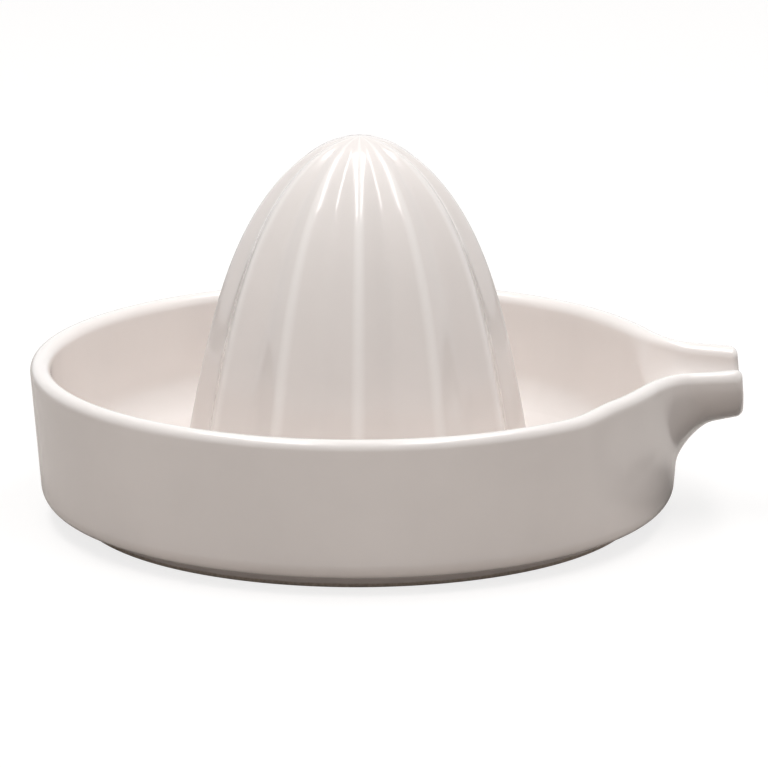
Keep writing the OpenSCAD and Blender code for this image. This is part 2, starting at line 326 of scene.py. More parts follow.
@dataclass(frozen=True)
class BowlForm:
    """Turned form of the dish, which the spout's shoulders follow too.

    Lengths are in metres and angles in degrees.
    """

    radius: float = 0.070
    rim_height: float = 0.0338
    lip: float = 0.0044
    outer_lean: float = 4.8
    inner_lean: float = 6.0
    underside: float = 0.0032
    floor_thickness: float = 0.0043
    corner: float = 0.0042
    cove: float = 0.011
    notch_half: float = 50.0
    notch_bottom: float = 0.010
    shoulder_draw: float = 0.0016
    shoulder_rise: float = 0.0006
    swell_from: float = 6.0
    swell_full: float = 16.0
    swell_run: float = 14.0

    @property
    def lip_r(self) -> float:
        """Radius of the round lip."""
        return self.lip / 2

    @property
    def lip_z(self) -> float:
        """Height at which the lip's round begins."""
        return self.rim_height - self.lip_r

    @property
    def lip_mid(self) -> float:
        """Distance of the lip's middle from the axis."""
        return self.radius - self.lip_r

    @property
    def floor_z(self) -> float:
        """Height of the dish's floor."""
        return self.underside + self.floor_thickness

    @property
    def corner_mid(self) -> float:
        """Distance from the axis to the centre of the lower corner."""
        end = self.straight_r(Side.OUTER, self.underside + self.corner)
        return end - self.corner / math.cos(self.lean_of(Side.OUTER))

    @property
    def cove_mid(self) -> float:
        """Distance from the axis to the centre of the cove, where the flat floor begins."""
        end = self.straight_r(Side.INNER, self.floor_z + self.cove)
        return end - self.cove / math.cos(self.lean_of(Side.INNER))

    @property
    def lean(self) -> float:
        """Mean lean of the wall, as outward run for each unit of height."""
        return slope((self.outer_lean + self.inner_lean) / 2)

    def lean_of(self, side: Side) -> float:
        """Lean of either face of the wall, in radians."""
        return math.radians(self.inner_lean if side is Side.INNER else self.outer_lean)

    def straight_r(self, side: Side, z: Numbers) -> Numbers:
        """Radius of the straight part of either face of the wall.

        Args:
            side: Which face.
            z: Height.

        Returns:
            Distance from the axis.
        """
        lean = self.lean_of(side)
        out = -self.lip_r if side is Side.INNER else self.lip_r
        return self.lip_mid + out / math.cos(lean) - (self.lip_z - z) * math.tan(lean)

    def face_r(self, side: Side, z: Numbers) -> Numbers:
        """Radius of either face of the wall, with the cove on the inner one.

        Args:
            side: Which face.
            z: Height.

        Returns:
            Distance from the axis.
        """
        straight = self.straight_r(side, z)
        if side is Side.OUTER:
            return straight
        cove_top = self.floor_z + self.cove * (1 - math.sin(self.lean_of(side)))
        rise = np.maximum(self.cove ** 2 - (self.floor_z + self.cove - z) ** 2, 0.0)
        return np.where(z >= cove_top, straight, self.cove_mid + np.sqrt(rise))

    def swollen(self, points: np.ndarray) -> np.ndarray:
        """Draws the rim in and lifts it a little on both shoulders of the spout.

        Args:
            points: Points of the spout.

        Returns:
            The points, moved towards the axis and up.
        """
        r = np.hypot(points[..., 0], points[..., 1])
        azimuth = np.degrees(np.abs(np.arctan2(points[..., 1], points[..., 0])))
        rise = smoothstep((azimuth - self.swell_from) / (self.swell_full - self.swell_from))
        by_angle = rise * smoothstep((self.notch_half - azimuth) / self.swell_run)
        by_height = smoothstep((points[..., 2] - self.notch_bottom) / (self.lip_z - self.notch_bottom))
        share = by_angle * by_height
        scale = 1 - self.shoulder_draw * share / r
        lift = share[..., None] * [0.0, 0.0, self.shoulder_rise]
        return points * np.stack([scale, scale, np.ones_like(scale)], axis=-1) + lift


def lip_round(outer: np.ndarray, inner: np.ndarray, up: np.ndarray, turn: np.ndarray) -> np.ndarray:
    """Rounds the lip over from one face of the wall to the other.

    Args:
        outer: Last points of the outer face, one for each row.
        inner: Last points of the inner face.
        up: Upward direction of the wall at each row, its height part being 1.
        turn: Angles over the lip, without its two ends.

    Returns:
        Points of shape (rows, angles, 3).
    """
    middle, half = (outer + inner) / 2, (outer - inner) / 2
    height = np.linalg.norm(half, axis=-1, keepdims=True)
    a = turn[None, :, None]
    return middle[:, None] + half[:, None] * np.cos(a) + (up * height)[:, None] * np.sin(a)


@dataclass(frozen=True)
class MeshSteps:
    """Fineness of the meshes: 360 columns round the dish put one on each edge of the notch."""

    columns: int = 360
    notch: int = 50
    lip: int = 24
    corner: int = 14
    cove: int = 16
    floor: int = 6
    low_wall: int = 3
    run_out: int = 6
    cone_columns: int = 540
    cone_levels: int = 110
    crest_pull: float = 0.6
    fillet: int = 10
    hollow: int = 48

    @property
    def lip_turn(self) -> np.ndarray:
        """Angles over the round lip, without its two ends."""
        return np.pi * np.arange(1, self.lip) / self.lip

    def angles(self, columns: int, ribs: int = 0) -> np.ndarray:
        """Angles of columns once round, in radians, crowded towards the ribs' crests."""
        even = 2 * np.pi * np.arange(columns) / columns
        return even - self.crest_pull * np.sin(ribs * even) / ribs if ribs else even


@dataclass(frozen=True)
class Glaze:
    """Satin glaze over warm white clay."""

    name: str = "satin_glaze"
    colour: Triple = (0.86, 0.80, 0.766)
    # Lighter colour of ridges, lip tops and the tip: partly thin glaze, partly a painted highlight.
    thin_glaze_and_highlight_colour: Triple = (0.94, 0.89, 0.858)
    cloud_size: float = 0.030
    cloud_detail: float = 3.0
    cloud_range: tuple[float, float] = (0.3, 0.7)
    cloud_depth: float = 0.035
    roughness: float = 0.36
    roughness_spread: float = 0.06
    coat: float = 1.0
    coat_roughness: float = 0.08
    coat_ior: float = 1.55
    ripple_size: float = 0.0045
    ripple_detail: float = 2.0
    ripple_height: float = 0.00001
    specular: float = 0.2

    def material(self) -> bpy.types.Material:
        """Builds the glaze's nodes.

        Returns:
            The material.
        """
        material = bpy.data.materials.new(self.name)
        material.use_nodes = True
        graph = Graph(material.node_tree)
        clouds = graph.noise(self.cloud_size, self.cloud_detail)
        deep, light = (tuple(c * (1 + change) for c in self.colour)
                       for change in (-self.cloud_depth, self.cloud_depth))
        tone = graph.ramp(clouds, self.cloud_range, deep, light)
        crest = graph.tree.nodes.new("ShaderNodeAttribute")
        crest.attribute_name = CREST_LAYER
        spread = (self.roughness - self.roughness_spread, self.roughness + self.roughness_spread)
        relief = graph.bump(graph.noise(self.ripple_size, self.ripple_detail), self.ripple_height)
        graph.feed(graph.tree.nodes["Principled BSDF"], {
            # Ridges, lip tops and the tip are painted lighter: partly glaze running thin, partly a
            # painted highlight.
            "Base Color": graph.blend(crest.outputs["Fac"], tone, (*self.thin_glaze_and_highlight_colour, 1)),
            "Roughness": graph.ranged(clouds, spread),
            "Normal": relief,
            "Coat Normal": relief,
            "Specular IOR Level": self.specular,
            "Coat Weight": self.coat,
            "Coat Roughness": self.coat_roughness,
            "Coat IOR": self.coat_ior,
        })
        return material


@dataclass(frozen=True)
class Biscuit:
    """Bare fired clay of the standing face, with glaze down to an uneven line on the foot's sides."""

    name: str = "biscuit_foot"
    clay: Triple = (0.66, 0.57, 0.49)
    clay_dark: Triple = (0.54, 0.455, 0.385)
    glaze: Triple = (0.86, 0.79, 0.755)
    grain_size: float = 0.0007
    grain_detail: float = 4.0
    grain_range: tuple[float, float] = (0.35, 0.62)
    grain_height: float = 0.00006
    line_height: float = 0.0009
    line_wander: float = 0.0006
    line_soft: float = 0.00025
    wander_size: float = 0.006
    wander_detail: float = 2.0
    clay_roughness: float = 0.85
    glaze_roughness: float = 0.32

    def material(self) -> bpy.types.Material:
        """Builds the foot's nodes.

        Returns:
            The material.
        """
        material = bpy.data.materials.new(self.name)
        material.use_nodes = True
        graph = Graph(material.node_tree)
        grain = graph.noise(self.grain_size, self.grain_detail)
        tone = graph.ramp(grain, self.grain_range, self.clay_dark, self.clay)

        wander = graph.noise(self.wander_size, self.wander_detail)
        split = graph.tree.nodes.new("ShaderNodeSeparateXYZ")
        height = graph.feed(split, {"Vector": graph.place()})["Z"]
        shifted = graph.calc("MULTIPLY_ADD", wander, -self.line_wander, height)
        line = self.line_height - self.line_wander / 2
        span = (line - self.line_soft, line + self.line_soft)
        glazed = graph.ranged(shifted, (0.0, 1.0), span, smooth=True)
        pits = graph.calc("MULTIPLY", grain, graph.ranged(glazed, (1.0, 0.0)))
        graph.feed(graph.tree.nodes["Principled BSDF"], {
            "Base Color": graph.blend(glazed, tone, (*self.glaze, 1)),
            "Roughness": graph.ranged(glazed, (self.clay_roughness, self.glaze_roughness)),
            "Normal": graph.bump(pits, self.grain_height),
        })
        return material


@dataclass
class FootRing:
    """Narrow ring that the dish stands on. Its glazed sides spread upwards into the underside."""

    form: BowlForm
    steps: MeshSteps
    diameter: float = 0.120
    width: float = 0.0046
    flare: float = 0.15
    seat: float = 0.0008
    edge: float = 0.0005
    edge_steps: int = 5
    run_out: float = 0.0006

    @property
    def skirt_z(self) -> float:
        """Height at which the ring's sides meet the dish's glaze."""
        return self.form.underside - self.run_out

    def outer_r(self, z: float) -> float:
        """Radius of the outer side at a height."""
        return self.diameter / 2 + self.flare * z

    def inner_r(self, z: float) -> float:
        """Radius of the inner side at a height."""
        return self.diameter / 2 - self.width - self.flare * z

    def joint_line(self) -> np.ndarray:
        """Follows the buried part of the ring from its outer side to its inner side.

        Returns:
            Radius and height of each point.
        """
        top, under = self.form.underside + self.seat, self.form.underside
        out, into = self.outer_r(under), self.inner_r(under)
        return np.array([
            [self.outer_r(self.skirt_z), self.skirt_z], [out, under], [out, top],
            [into, top], [into, under], [self.inner_r(self.skirt_z), self.skirt_z]])

    def build(self) -> bpy.types.Object:
        """Turns the ring.

        Returns:
            The piece.
        """
        shell = Shell("foot_ring_glazed")
        out, into = self.outer_r(self.edge) - self.edge, self.inner_r(self.edge) + self.edge
        inner_edge = arc_points((into, self.edge), self.edge, 180, 270, self.edge_steps)
        outer_edge = arc_points((out, self.edge), self.edge, 270, 360, self.edge_steps)
        seen = np.concatenate([
            [[self.inner_r(self.skirt_z), self.skirt_z]], inner_edge, outer_edge,
            [[self.outer_r(self.skirt_z), self.skirt_z]]])
        angles = self.steps.angles(self.steps.columns)
        shell.turn(angles, (seen, False), (self.joint_line(), True))
        return shell.build()


@dataclass
class ReamerCone:
    """Fluted cone on a flange, hollow underneath."""

    form: BowlForm
    steps: MeshSteps
    height: float = 0.0824
    diameter: float = 0.0762
    lean: float = 10.4
    shoulder_power: float = 4.4
    tip_power: float = 1.86
    ribs: int = 12
    flute_depth: float = 0.0029
    rib_r: float = 0.0013
    valley_soft: float = 0.3
    tip_fade: float = 0.008
    kiln_lean: float = 0.35
    fillet: float = 0.0022
    wall: float = 0.0046
    flange_margin: float = 0.0003
    flange_thickness: float = 0.0023
    seat_shelf: float = 0.005
    tip_extra: float = 0.0015
    hollow_power: float = 6.0
    hollow_edge: float = 0.0012
    hollow_edge_steps: int = 6
    crest_narrow: float = 7.0
    crest_rise: float = 2.0
    tip_crest: float = 0.5

    @property
    def flange_r(self) -> float:
        """Radius of the flange, flush in the dish's floor."""
        return self.diameter / 2 + self.fillet + self.flange_margin

    @property
    def spigot_r(self) -> float:
        """Radius of the spigot below the flange, flush with the underside."""
        return self.flange_r - self.seat_shelf

    @property
    def flange_z(self) -> float:
        """Height of the flange's lower face."""
        return self.form.floor_z - self.flange_thickness

    @property
    def span(self) -> float:
        """Height of the cone above the dish's floor."""
        return self.height - self.form.floor_z

    def rib_line(self, z: np.ndarray) -> np.ndarray:
        """Radius over the ribs.

        Args:
            z: Height.

        Returns:
            Distance from the axis: a leaning flank that closes into a round dome.
        """
        up = z - self.form.floor_z
        flank = self.diameter / 2 - up * slope(self.lean)
        closing = np.clip(up / self.span, 0, 1) ** self.shoulder_power
        return flank * np.maximum(1 - closing, 0) ** (1 / self.tip_power)

    def flute_at(self, line_r: np.ndarray) -> np.ndarray:
        """Depth of the flutes where the ribs stand at a radius, fading out into the tip."""
        fade = 1 - np.maximum(1 - line_r / self.tip_fade, 0) ** 2
        return self.flute_depth * 2 * line_r / self.diameter * fade

    def scoop(self, line_r: np.ndarray, angle: np.ndarray) -> np.ndarray:
        """Share of the flute's depth at an angle.

        Args:
            line_r: Radius over the ribs.
            angle: Angle from +X, in radians.

        Returns:
            0 on a rib's crest, 1 at a flute's bottom.
        """
        half = np.pi / self.ribs
        off = np.abs((angle / (2 * half) - np.round(angle / (2 * half))) * 2 * half)
        soft = np.minimum(self.rib_r / np.maximum(line_r, self.rib_r), half / 2)
        up = 1 - blunt(off, soft) / blunt(half, soft)
        return 1 - blunt(up, self.valley_soft) / blunt(1.0, self.valley_soft)

    def surface(self, z: np.ndarray, angle: np.ndarray) -> np.ndarray:
        """Radius of the fluted surface with its fillet on the floor.

        Args:
            z: Height.
            angle: Angle from +X, in radians.

        Returns:
            Distance from the axis.
        """
        line_r = self.rib_line(z)
        short = np.clip(self.fillet - (z - self.form.floor_z), 0, self.fillet)
        run = self.fillet - np.sqrt(self.fillet ** 2 - short ** 2)
        return line_r - self.flute_at(line_r) * self.scoop(line_r, angle) + run

    def levels(self) -> np.ndarray:
        """Heights of the mesh rows, crowded into the fillet and towards the tip.

        Returns:
            Heights from the floor up to just under the tip.
        """
        quarter = np.radians(np.linspace(0, 90, self.steps.fillet + 1))
        low = self.form.floor_z + self.fillet * (1 - np.cos(quarter))
        share = np.arange(1, self.steps.cone_levels + 1) / (self.steps.cone_levels + 1)
        start = self.fillet / self.span
        high = self.form.floor_z + self.span * (start + (1 - start) * np.sin(share * np.pi / 2))
        return np.concatenate([low, high])

    def hollow_profile(self) -> np.ndarray:
        """Follows the hollow from the underside to its top on the axis.

        Returns:
            Radius and height of each point.
        """
        floor, top = self.form.floor_z, self.height - self.wall - self.tip_extra
        share = np.linspace(0, 1, self.steps.hollow + 1)
        z = floor + (top - floor) * np.sin(share * np.pi / 2)
        line_r = self.rib_line(z)
        dome = np.sqrt(np.maximum(1 - ((z - floor) / (top - floor)) ** self.hollow_power, 0))
        r = np.maximum((line_r - self.flute_at(line_r) - self.wall) * dome, 0)
        edge = arc_points((r[0] + self.hollow_edge, self.form.underside + self.hollow_edge),
                          self.hollow_edge, 270, 180, self.hollow_edge_steps)
        return np.concatenate([edge, np.stack([r, z], axis=-1)])

    def joint_line(self) -> np.ndarray:
        """Follows the flange and the spigot down through the dish's floor.

        Returns:
            Radius and height of each point.
        """
        return np.array([
            [self.flange_r, self.form.floor_z], [self.flange_r, self.flange_z],
            [self.spigot_r, self.flange_z], [self.spigot_r, self.form.underside]])

    def build(self) -> bpy.types.Object:
        """Makes the cone, its flange and its hollow.

        Returns:
            The piece.
        """
        shell = Shell("reamer_cone_glazed")
        angle = self.steps.angles(self.steps.cone_columns, self.ribs)[None]
        z = self.levels()[:, None]
        up, lean = z - self.form.floor_z, slope(self.kiln_lean)
        grid = around_axis(self.surface(z, angle), angle, z)
        grid[..., 0] += up * lean
        # Rib crests get the lighter colour: partly thin glaze, partly a painted highlight.
        crest = np.clip(1 - self.crest_narrow * self.scoop(self.rib_line(z), angle), 0, 1)
        skin = shell.add(grid, crest * smoothstep(up / (self.crest_rise * self.fillet)))
        rim = shell.add(around_axis(self.flange_r, angle, self.form.floor_z))
        tip = np.broadcast_to([self.span * lean, 0.0, self.height], (1, angle.size, 3))
        shell.sheet(np.concatenate([rim, skin, shell.add(tip, self.tip_crest)]), closed=True)
        joint = self.joint_line()
        shell.turn(angle, (joint, True), (np.concatenate([joint[-1:], self.hollow_profile()]), False))
        return shell.build()


@dataclass
class Dish:
    """Round dish with a notch for the spout, a stepped hole for the cone and a groove for the foot."""

    form: BowlForm
    steps: MeshSteps
    cone: ReamerCone
    foot: FootRing

    def notch_heights(self) -> np.ndarray:
        """Heights of the rows beside the notch, from its bottom to the lip."""
        return np.linspace(self.form.notch_bottom, self.form.lip_z, self.steps.notch + 1)

    def under_profile(self) -> np.ndarray:
        """Follows the glazed underside from the foot ring's outer side up to the notch's bottom.

        Returns:
            Radius and height of each point.
        """
        form, foot, steps = self.form, self.foot, self.steps
        run_out = arc_points((foot.outer_r(form.underside) + foot.run_out, foot.skirt_z),
                             foot.run_out, 180, 90, steps.run_out)
        corner = arc_points((form.corner_mid, form.underside + form.corner), form.corner, -90,
                            -form.outer_lean, steps.corner)
        z = np.linspace(corner[-1, 1], form.notch_bottom, steps.low_wall + 1)[1:]
        wall = np.stack([form.straight_r(Side.OUTER, z), z], axis=-1)
        return np.concatenate([[[foot.outer_r(foot.skirt_z), foot.skirt_z]], run_out[1:], corner, wall])

    def middle_profile(self) -> np.ndarray:
        """Follows the underside from the cone's spigot to the foot ring's inner side.

        Returns:
            Radius and height of each point.
        """
        foot, under = self.foot, self.form.underside
        run_out = arc_points((foot.inner_r(under) - foot.run_out, foot.skirt_z),
                             foot.run_out, 90, 0, self.steps.run_out)
        return np.concatenate([[[self.cone.spigot_r, under]], run_out[:-1],
                               [[foot.inner_r(foot.skirt_z), foot.skirt_z]]])

    def floor_profile(self) -> np.ndarray:
        """Follows the cove from the notch's bottom down to the floor and in to the cone's flange.

        Returns:
            Radius and height of each point.
        """
        form = self.form
        drop = form.floor_z + form.cove - form.notch_bottom
        start = -math.degrees(math.asin(drop / form.cove))
        cove = arc_points((form.cove_mid, form.floor_z + form.cove), form.cove, start, -90,
                          self.steps.cove)
        r = np.linspace(form.cove_mid, self.cone.flange_r, self.steps.floor + 1)[1:]
        return np.concatenate([cove, np.stack([r, np.full_like(r, form.floor_z)], axis=-1)])

    def build(self) -> bpy.types.Object:
        """Turns the dish and leaves the notch open for the spout.

        Returns:
            The piece.
        """
        form, steps = self.form, self.steps
        shell = Shell("dish_glazed")
        shell.turn(steps.angles(steps.columns), (self.under_profile(), False),
                   (self.middle_profile(), False), (self.floor_profile(), False),
                   (self.cone.joint_line(), True), (self.foot.joint_line(), True))

        z = self.notch_heights()[:, None]
        kept = np.radians(np.linspace(form.notch_half, 360 - form.notch_half,
                                      steps.columns - 2 * steps.notch + 1))[None]
        outer, inner = (around_axis(form.face_r(side, z), kept, z) for side in Side)
        up = around_axis(form.lean, kept[0], 1.0)
        lip = np.swapaxes(lip_round(outer[-1], inner[-1], up, steps.lip_turn), 0, 1)
        # The lip's top gets the lighter colour, most at the top of the round: partly thin glaze, partly
        # a painted highlight.
        crest = np.sin(steps.lip_turn)[:, None]
        outside = shell.add(outer)
        over = shell.add(lip, crest)
        inside = shell.add(inner[::-1])
        wall = np.concatenate([outside, over, inside])
        shell.sheet(wall)
        half = len(wall) // 2 + 1
        for column in (0, -1):
            shell.ladder(wall[:half, column], wall[::-1, column][:half], hidden=True)
        across = np.radians(np.linspace(-form.notch_half, form.notch_half, 2 * steps.notch + 1))
        low = form.notch_bottom
        bottom = (around_axis(form.face_r(side, low), across, low) for side in Side)
        shell.ladder(*(shell.add(line) for line in bottom), hidden=True)
        return shell.build()


@dataclass
class PouringSpout:
    """Open spout with its two shoulders, which fills the notch in the dish's wall."""

    form: BowlForm
    steps: MeshSteps
    reach: float = 0.0127
    width: float = 0.0246
    spread: float = 19.0
    depth: float = 0.0126
    fall: float = 10.5
    floor_thickness: float = 0.004
    tip_lean: float = 4.0
    tip_edge: float = 0.0016
    side_blend: float = 0.0045
    shoulder_blend: float = 0.0095
    under_blend: float = 0.008
    mouth_blend: float = 0.005
    mouth_bias: float = 3.0
    lip_fall: float = 0.0003
    section_power: float = 1.6
    channel_power: float = 2.2
    root_inset: float = 0.001
    mouth_inset: float = 0.002
    bottom_share: float = 0.5
    run_limit: float = 0.92
    notch_margin: float = 0.0006
    hug: float = 0.42
    heading_step: float = 0.01
    edge_steps: int = 8
    trough_steps: int = 8
    blend_steps: int = 30
    wall_steps: int = 14
    smoothing: int = 14

    @property
    def tip_x(self) -> float:
        """Distance of the spout's tip from the dish axis."""
        return self.form.radius + self.reach

    @property
    def under_z(self) -> float:
        """Height of the underside at the tip."""
        return self.form.rim_height - self.depth

    @property
    def side_run(self) -> float:
        """Sideways spread for each unit of length."""
        return slope(self.spread)

    @property
    def lip_shift(self) -> float:
        """Sideways distance between the outer side and the channel's side."""
        return self.form.lip / math.cos(math.radians(self.spread))

    @property
    def turn_gain(self) -> float:
        """Extra length of the channel's blend, because its lip turns on a larger radius.

        Returns:
            Length.
        """
        half_width = self.half_width(Side.OUTER, self.form.radius - self.root_inset)
        turn = math.radians(90 - self.spread) - math.asin(half_width / self.form.radius)
        return self.form.lip * math.tan(turn / 2)

    def half_width(self, side: Side, x: float) -> float:
        """Half width of the outside or of the channel, x from the dish axis."""
        outer = self.width / 2 + (self.tip_x - x) * self.side_run
        return outer - self.lip_shift if side is Side.INNER else outer

    def top(self, x: float) -> float:
        """Height of the lip's middle x from the dish axis, falling a little to the tip."""
        start = self.form.radius - self.root_inset
        return self.form.lip_z - self.lip_fall * max(x - start, 0.0) / (self.tip_x - start)

    def bottom(self, side: Side, x: float) -> float:
        """Height of the bottom of the outside or of the channel, x from the dish axis."""
        fall, low = (self.tip_x - x) * slope(self.fall), self.under_z
        return low + self.floor_thickness - fall / 2 if side is Side.INNER else low - fall

    def section(self, side: Side, x: float, s: np.ndarray) -> tuple[np.ndarray, np.ndarray]:
        """Half of a section, from its bottom to the lip.

        Args:
            side: The outside or the channel.
            x: Distance from the dish axis, which sets the section's size.
            s: Share of the way from the bottom, 0, to the lip, 1.

        Returns:
            Sideways distance and height.
        """
        power = 2 / (self.channel_power if side is Side.INNER else self.section_power)
        quarter = s * np.pi / 2
        across = self.half_width(side, x) * np.sin(quarter) ** power
        drop = (self.top(x) - self.bottom(side, x)) * np.maximum(np.cos(quarter), 0) ** power
        return across, self.top(x) - drop

    def tip_points(self, side: Side, s: np.ndarray) -> np.ndarray:
        """Points on the leaning end face's outline.

        Args:
            side: The outside or the channel.
            s: Shares along the section.

        Returns:
            Points.
        """
        y, z = self.section(side, self.tip_x, s)
        x = self.tip_x - (z - self.under_z) * slope(self.tip_lean)
        return np.stack([x, y, z], axis=-1)

    def root_points(self, side: Side, s: np.ndarray) -> np.ndarray:
        """Points where the spout's face meets the wall's face.

        Args:
            side: The outside or the channel.
            s: Shares along the section.

        Returns:
            Points.
        """
        inset = self.form.lip + self.mouth_inset if side is Side.INNER else self.root_inset
        y, z = self.section(side, self.form.radius - inset, s)
        r = self.form.face_r(side, z)
        return np.stack([np.sqrt(r * r - y * y), y, z], axis=-1)

    def wall_points(self, side: Side, s: np.ndarray, k: np.ndarray) -> np.ndarray:
        """Points on the wall's face on the way from the spout's root to the notch's edge.

        Args:
            side: The outer or inner face.
            s: Shares along the section.
            k: Shares of the way, 1 at the notch's edge.

        Returns:
            Points.
        """
        root = self.root_points(side, s)
        edge_angle = np.radians(self.form.notch_half) * np.minimum(s / self.bottom_share, 1)
        up_side = np.maximum((s - self.bottom_share) / (1 - self.bottom_share), 0)
        edge_z = mix(self.form.notch_bottom, self.form.lip_z, up_side)
        z = mix(root[..., 2], edge_z, k)
        angle = mix(np.arctan2(root[..., 1], root[..., 0]), edge_angle, k)
        return around_axis(self.form.face_r(side, z), angle, z)

    def face_rows(self, side: Side, s: np.ndarray) -> np.ndarray:
        """Rows of one face from the tip's edge through the trough and the blend to the notch's edge.

        Args:
            side: The outside or the channel.
            s: Shares along the section.

        Returns:
            Points of shape (rows, shares, 3).
        """
        tip, root = self.tip_points(side, s), self.root_points(side, s)
        edge = self.wall_points(side, s, np.ones_like(s))
        along = unit(root - tip)
        turn = np.arctan2(edge[:, 1], edge[:, 0]) - np.arctan2(root[:, 1], root[:, 0])
        way_on = np.hypot(np.hypot(root[:, 0], root[:, 1]) * turn, edge[:, 2] - root[:, 2])
        if side is Side.INNER:
            late = s ** self.mouth_bias
            back = mix(self.mouth_blend, self.side_blend + self.turn_gain, late)
            on = mix(self.mouth_blend, self.shoulder_blend + self.turn_gain, late)
        else:
            back = mix(self.under_blend, self.side_blend, s)
            on = mix(root[0, 2] - self.form.notch_bottom - self.notch_margin, self.shoulder_blend, s)
        k_end = np.minimum(on / way_on, self.run_limit)
        start = root - along * back[:, None]
        finish = self.wall_points(side, s, k_end)
        towards = unit(self.wall_points(side, s, k_end - self.heading_step) - finish)
        pull_on = np.linalg.norm(finish - root, axis=-1, keepdims=True)
        control = (start, start + along * back[:, None] * self.hug,
                   finish + towards * pull_on * self.hug, finish)

        quarter = np.radians(np.linspace(0, 90, self.edge_steps + 1))[:, None, None]
        rounded = tip + along * self.tip_edge * (1 - np.cos(quarter))
        share = (np.arange(1, self.trough_steps) / self.trough_steps)[:, None, None]
        trough = mix(rounded[-1], start, share)
        k = np.linspace(0, 1, self.blend_steps + 1)[:, None, None]
        blend = (control[0] * (1 - k) ** 3 + control[1] * 3 * k * (1 - k) ** 2
                 + control[2] * 3 * k * k * (1 - k) + control[3] * k ** 3)
        rest = (np.arange(1, self.wall_steps + 1) / self.wall_steps)[:, None]
        wall = self.wall_points(side, s[None], mix(k_end[None], 1.0, rest))
        return np.concatenate([rounded, trough, blend, wall])

    def rings(self) -> np.ndarray:
        """Closed rings of the whole spout, row by row from the tip to the notch.

        Returns:
            Points of shape (rows, points in a ring, 3). A ring goes along the outside, over one lip,
            back through the channel and over the other lip.
        """
        s = np.linspace(0, 1, 2 * self.steps.notch + 1)
        outer, inner = self.face_rows(Side.OUTER, s), self.face_rows(Side.INNER, s)
        quarter = np.radians(np.linspace(0, 90, self.edge_steps + 1))
        inset = np.zeros(len(outer))
        inset[:self.edge_steps + 1] = self.tip_edge * (1 - np.sin(quarter))
        way = unit(inner - outer) * inset[:, None, None]
        outer, inner = outer + way, inner - way

        free = self.edge_steps + self.trough_steps
        rise = smoothstep((np.arange(len(outer)) - free) / self.blend_steps)[:, None]
        at_tip = np.array([-slope(self.tip_lean), 0.0, 1.0])
        outward = unit((outer[:, -1] - inner[:, -1]) * [1, 1, 0])
        up = mix(at_tip, outward * self.form.lean + [0, 0, 1], rise)
        lip = lip_round(outer[:, -1], inner[:, -1], up, self.steps.lip_turn)

        mirror = np.array([1, -1, 1])
        ring = (outer[:, :0:-1] * mirror, outer, lip,
                inner[:, ::-1], inner[:, 1:] * mirror, lip[:, ::-1] * mirror)
        return np.concatenate(ring, axis=1)

    def softened(self, rings: np.ndarray) -> np.ndarray:
        """Evens out the blends, and leaves the tip's edge and the notch's edge where they are.

        Args:
            rings: Closed rings.

        Returns:
            The rings after a few passes towards the mean of each point's neighbours.
        """
        row = np.arange(len(rings))
        from_tip = smoothstep((row - self.edge_steps - 1) / self.trough_steps)
        to_notch = smoothstep((len(rings) - 1 - row) / self.wall_steps)
        weight = (from_tip * to_notch)[:, None, None] / 2
        for _ in range(self.smoothing):
            around = (np.roll(rings, 1, axis=1) + np.roll(rings, -1, axis=1)) / 2
            between = rings.copy()
            between[1:-1] = (rings[:-2] + rings[2:]) / 2
            rings = mix(rings, (around + between) / 2, weight)
        return rings

    def build(self) -> bpy.types.Object:
        """Makes the spout with its end face and the faces in the notch.

        Returns:
            The piece.
        """
        shell = Shell("pouring_spout_glazed")
        rings = self.form.swollen(self.softened(self.rings()))
        shares = 4 * self.steps.notch + 1
        lip = self.steps.lip - 1
        # The spout's lips get the lighter colour over their top: partly thin glaze, partly a painted
        # highlight.
        crest = np.zeros(rings.shape[1])
        over = np.sin(self.steps.lip_turn)
        crest[shares:shares + lip] = over
        crest[2 * shares + lip:] = over
        numbers = shell.add(rings, crest[None])
        shell.sheet(numbers, closed=True)
        half = rings.shape[1] // 2
        turned = np.roll(numbers, lip // 2 + 1, axis=1)
        for row, hidden in ((0, False), (-1, True)):
            shell.ladder(turned[row, :half + 1], np.roll(turned[row, ::-1], 1)[:half + 1], hidden=hidden)
        return shell.build()


def glaze_over(pieces: list[bpy.types.Object]) -> None:
    """Gives the pieces the normals of one unbroken skin, so that no joint shows under the glaze.

    Args:
        pieces: Pieces whose seen faces meet along their joints.
    """
    loops, normals, seen, places = [], [], [], []
    for piece in pieces:
        mesh = piece.data
        corner = np.empty(len(mesh.loops), np.int32)
        mesh.loops.foreach_get("vertex_index", corner)
        place = np.empty(len(mesh.vertices) * 3)
        mesh.vertices.foreach_get("co", place)
        normal = np.empty(len(mesh.polygons) * 3)
        mesh.polygons.foreach_get("normal", normal)
        area = np.empty(len(mesh.polygons))
        mesh.polygons.foreach_get("area", area)
        corners = np.empty(len(mesh.polygons), np.int32)
        mesh.polygons.foreach_get("loop_total", corners)
        hidden = np.empty(len(mesh.polygons), np.int32)
        mesh.attributes[HIDDEN_LAYER].data.foreach_get("value", hidden)
        loops.append(len(corner))
        places.append(place.reshape(-1, 3)[corner])
        normals.append(np.repeat(normal.reshape(-1, 3) * area[:, None], corners, axis=0))
        seen.append(np.repeat(hidden == 0, corners))
    place, normal, shown = np.concatenate(places), np.concatenate(normals), np.concatenate(seen)
    _, group = np.unique(np.round(place / SEAM).astype(np.int64), axis=0, return_inverse=True)
    group = group.reshape(-1)
    skin = np.zeros((group.max() + 1, 3))
    np.add.at(skin, group[shown], normal[shown])
    smooth = unit(np.where(shown[:, None], skin[group], normal))
    for piece, part in zip(pieces, np.split(smooth, np.cumsum(loops)[:-1])):
        piece.data.normals_split_custom_set(part.tolist())


